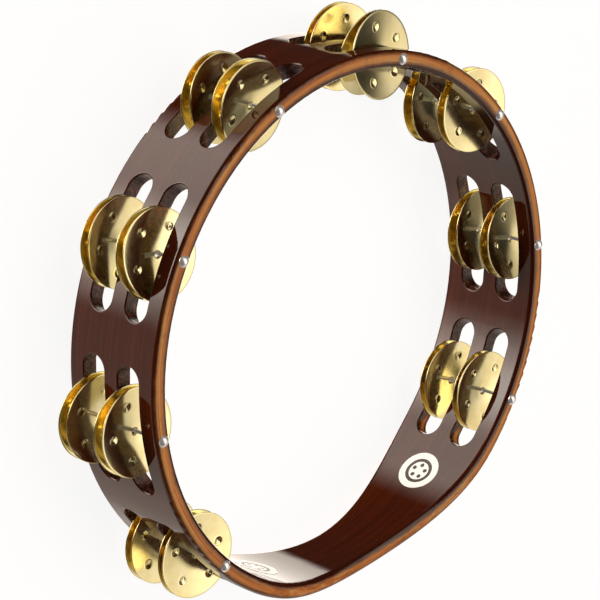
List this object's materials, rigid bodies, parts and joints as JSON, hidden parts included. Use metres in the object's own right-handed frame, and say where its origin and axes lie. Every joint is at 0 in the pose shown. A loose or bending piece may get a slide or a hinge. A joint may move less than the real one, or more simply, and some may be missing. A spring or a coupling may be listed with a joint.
{
  "type": "tambourine",
  "caption": "Headless tambourine: a slotted bent-wood ring with a scooped hand grip and two rows of brass jingle pairs sliding on long nails.",
  "frame": {"origin": "centre of the ring, on its axis, half-way between the two rims", "axes": "+Z along the ring's axis, out of the rim that shows the nail heads, so the ring lies flat on its plain rim; -X points to the middle of the hand grip; +Y completes the frame"},
  "size_m": [0.2636, 0.2863, 0.0558],
  "materials": {
    "lacquered_wood": "glossy lacquer over dark red-brown stained wood, amber where the rims show the grain",
    "nail_steel": "bright nickel-plated steel",
    "jingle_brass": "polished stamped brass sheet",
    "sticker_paper": "satin white printed paper"
  },
  "bodies": {
    "ring": {"wooden_ring": "lacquered_wood", "nail_1": "nail_steel", "nail_2": "nail_steel", "nail_3": "nail_steel", "nail_4": "nail_steel", "nail_5": "nail_steel", "nail_6": "nail_steel", "nail_7": "nail_steel", "nail_8": "nail_steel", "sticker_left": "sticker_paper", "sticker_right": "sticker_paper"},
    "jingle_1_upper_row_top": {"jingle_1_upper_row_top": "jingle_brass"},
    "jingle_1_upper_row_bottom": {"jingle_1_upper_row_bottom": "jingle_brass"},
    "jingle_1_lower_row_top": {"jingle_1_lower_row_top": "jingle_brass"},
    "jingle_1_lower_row_bottom": {"jingle_1_lower_row_bottom": "jingle_brass"},
    "jingle_2_upper_row_top": {"jingle_2_upper_row_top": "jingle_brass"},
    "jingle_2_upper_row_bottom": {"jingle_2_upper_row_bottom": "jingle_brass"},
    "jingle_2_lower_row_top": {"jingle_2_lower_row_top": "jingle_brass"},
    "jingle_2_lower_row_bottom": {"jingle_2_lower_row_bottom": "jingle_brass"},
    "jingle_3_upper_row_top": {"jingle_3_upper_row_top": "jingle_brass"},
    "jingle_3_upper_row_bottom": {"jingle_3_upper_row_bottom": "jingle_brass"},
    "jingle_3_lower_row_top": {"jingle_3_lower_row_top": "jingle_brass"},
    "jingle_3_lower_row_bottom": {"jingle_3_lower_row_bottom": "jingle_brass"},
    "jingle_4_upper_row_top": {"jingle_4_upper_row_top": "jingle_brass"},
    "jingle_4_upper_row_bottom": {"jingle_4_upper_row_bottom": "jingle_brass"},
    "jingle_4_lower_row_top": {"jingle_4_lower_row_top": "jingle_brass"},
    "jingle_4_lower_row_bottom": {"jingle_4_lower_row_bottom": "jingle_brass"},
    "jingle_5_upper_row_top": {"jingle_5_upper_row_top": "jingle_brass"},
    "jingle_5_upper_row_bottom": {"jingle_5_upper_row_bottom": "jingle_brass"},
    "jingle_5_lower_row_top": {"jingle_5_lower_row_top": "jingle_brass"},
    "jingle_5_lower_row_bottom": {"jingle_5_lower_row_bottom": "jingle_brass"},
    "jingle_6_upper_row_top": {"jingle_6_upper_row_top": "jingle_brass"},
    "jingle_6_upper_row_bottom": {"jingle_6_upper_row_bottom": "jingle_brass"},
    "jingle_6_lower_row_top": {"jingle_6_lower_row_top": "jingle_brass"},
    "jingle_6_lower_row_bottom": {"jingle_6_lower_row_bottom": "jingle_brass"},
    "jingle_7_upper_row_top": {"jingle_7_upper_row_top": "jingle_brass"},
    "jingle_7_upper_row_bottom": {"jingle_7_upper_row_bottom": "jingle_brass"},
    "jingle_7_lower_row_top": {"jingle_7_lower_row_top": "jingle_brass"},
    "jingle_7_lower_row_bottom": {"jingle_7_lower_row_bottom": "jingle_brass"},
    "jingle_8_upper_row_top": {"jingle_8_upper_row_top": "jingle_brass"},
    "jingle_8_upper_row_bottom": {"jingle_8_upper_row_bottom": "jingle_brass"},
    "jingle_8_lower_row_top": {"jingle_8_lower_row_top": "jingle_brass"},
    "jingle_8_lower_row_bottom": {"jingle_8_lower_row_bottom": "jingle_brass"}
  },
  "joints": [
    {"name": "jingle_1_upper_row_top_slide", "type": "slide", "parent": "ring", "child": "jingle_1_upper_row_top", "axis": [0, 0, 1], "range_m": [-0.00005, 0.0063]},
    {"name": "jingle_1_upper_row_bottom_slide", "type": "slide", "parent": "ring", "child": "jingle_1_upper_row_bottom", "axis": [0, 0, -1], "range_m": [-0.00005, 0.0006]},
    {"name": "jingle_1_lower_row_top_slide", "type": "slide", "parent": "ring", "child": "jingle_1_lower_row_top", "axis": [0, 0, 1], "range_m": [-0.00035, 0.0051]},
    {"name": "jingle_1_lower_row_bottom_slide", "type": "slide", "parent": "ring", "child": "jingle_1_lower_row_bottom", "axis": [0, 0, -1], "range_m": [-0.00035, 0.0008]},
    {"name": "jingle_2_upper_row_top_slide", "type": "slide", "parent": "ring", "child": "jingle_2_upper_row_top", "axis": [0, 0, 1], "range_m": [-0.00005, 0.0039]},
    {"name": "jingle_2_upper_row_bottom_slide", "type": "slide", "parent": "ring", "child": "jingle_2_upper_row_bottom", "axis": [0, 0, -1], "range_m": [-0.00005, 0.0016]},
    {"name": "jingle_2_lower_row_top_slide", "type": "slide", "parent": "ring", "child": "jingle_2_lower_row_top", "axis": [0, 0, 1], "range_m": [-0.0001, 0.0028]},
    {"name": "jingle_2_lower_row_bottom_slide", "type": "slide", "parent": "ring", "child": "jingle_2_lower_row_bottom", "axis": [0, 0, -1], "range_m": [-0.0001, 0.0031]},
    {"name": "jingle_3_upper_row_top_slide", "type": "slide", "parent": "ring", "child": "jingle_3_upper_row_top", "axis": [0, 0, 1], "range_m": [-0.0001, 0.0039]},
    {"name": "jingle_3_upper_row_bottom_slide", "type": "slide", "parent": "ring", "child": "jingle_3_upper_row_bottom", "axis": [0, 0, -1], "range_m": [-0.0001, 0.0015]},
    {"name": "jingle_3_lower_row_top_slide", "type": "slide", "parent": "ring", "child": "jingle_3_lower_row_top", "axis": [0, 0, 1], "range_m": [-0.0001, 0.006]},
    {"name": "jingle_3_lower_row_bottom_slide", "type": "slide", "parent": "ring", "child": "jingle_3_lower_row_bottom", "axis": [0, 0, -1], "range_m": [-0.0001, 0.0004]},
    {"name": "jingle_4_upper_row_top_slide", "type": "slide", "parent": "ring", "child": "jingle_4_upper_row_top", "axis": [0, 0, 1], "range_m": [-0.0002, 0.0016]},
    {"name": "jingle_4_upper_row_bottom_slide", "type": "slide", "parent": "ring", "child": "jingle_4_upper_row_bottom", "axis": [0, 0, -1], "range_m": [-0.0002, 0.0014]},
    {"name": "jingle_4_lower_row_top_slide", "type": "slide", "parent": "ring", "child": "jingle_4_lower_row_top", "axis": [0, 0, 1], "range_m": [-0.0001, 0.0038]},
    {"name": "jingle_4_lower_row_bottom_slide", "type": "slide", "parent": "ring", "child": "jingle_4_lower_row_bottom", "axis": [0, 0, -1], "range_m": [-0.0001, 0.0023]},
    {"name": "jingle_5_upper_row_top_slide", "type": "slide", "parent": "ring", "child": "jingle_5_upper_row_top", "axis": [0, 0, 1], "range_m": [-0.00005, 0.0053]},
    {"name": "jingle_5_upper_row_bottom_slide", "type": "slide", "parent": "ring", "child": "jingle_5_upper_row_bottom", "axis": [0, 0, -1], "range_m": [-0.00005, 0.0021]},
    {"name": "jingle_5_lower_row_top_slide", "type": "slide", "parent": "ring", "child": "jingle_5_lower_row_top", "axis": [0, 0, 1], "range_m": [-0.00025, 0.0012]},
    {"name": "jingle_5_lower_row_bottom_slide", "type": "slide", "parent": "ring", "child": "jingle_5_lower_row_bottom", "axis": [0, 0, -1], "range_m": [-0.00025, 0.0046]},
    {"name": "jingle_6_upper_row_top_slide", "type": "slide", "parent": "ring", "child": "jingle_6_upper_row_top", "axis": [0, 0, 1], "range_m": [-0.0001, 0.0012]},
    {"name": "jingle_6_upper_row_bottom_slide", "type": "slide", "parent": "ring", "child": "jingle_6_upper_row_bottom", "axis": [0, 0, -1], "range_m": [-0.0001, 0.0011]},
    {"name": "jingle_6_lower_row_top_slide", "type": "slide", "parent": "ring", "child": "jingle_6_lower_row_top", "axis": [0, 0, 1], "range_m": [-0.0001, 0.0046]},
    {"name": "jingle_6_lower_row_bottom_slide", "type": "slide", "parent": "ring", "child": "jingle_6_lower_row_bottom", "axis": [0, 0, -1], "range_m": [-0.0001, 0.0011]},
    {"name": "jingle_7_upper_row_top_slide", "type": "slide", "parent": "ring", "child": "jingle_7_upper_row_top", "axis": [0, 0, 1], "range_m": [-0.0001, 0.0057]},
    {"name": "jingle_7_upper_row_bottom_slide", "type": "slide", "parent": "ring", "child": "jingle_7_upper_row_bottom", "axis": [0, 0, -1], "range_m": [-0.0001, 0.0003]},
    {"name": "jingle_7_lower_row_top_slide", "type": "slide", "parent": "ring", "child": "jingle_7_lower_row_top", "axis": [0, 0, 1], "range_m": [-0.0001, 0.0074]},
    {"name": "jingle_7_lower_row_bottom_slide", "type": "slide", "parent": "ring", "child": "jingle_7_lower_row_bottom", "axis": [0, 0, -1], "range_m": [-0.0001, 0.001]},
    {"name": "jingle_8_upper_row_top_slide", "type": "slide", "parent": "ring", "child": "jingle_8_upper_row_top", "axis": [0, 0, 1], "range_m": [-0.0001, 0.0072]},
    {"name": "jingle_8_upper_row_bottom_slide", "type": "slide", "parent": "ring", "child": "jingle_8_upper_row_bottom", "axis": [0, 0, -1], "range_m": [-0.0001, 0.0004]},
    {"name": "jingle_8_lower_row_top_slide", "type": "slide", "parent": "ring", "child": "jingle_8_lower_row_top", "axis": [0, 0, 1], "range_m": [-0.00015, 0.0078]},
    {"name": "jingle_8_lower_row_bottom_slide", "type": "slide", "parent": "ring", "child": "jingle_8_lower_row_bottom", "axis": [0, 0, -1], "range_m": [-0.00015, 0.0005]}
  ]
}
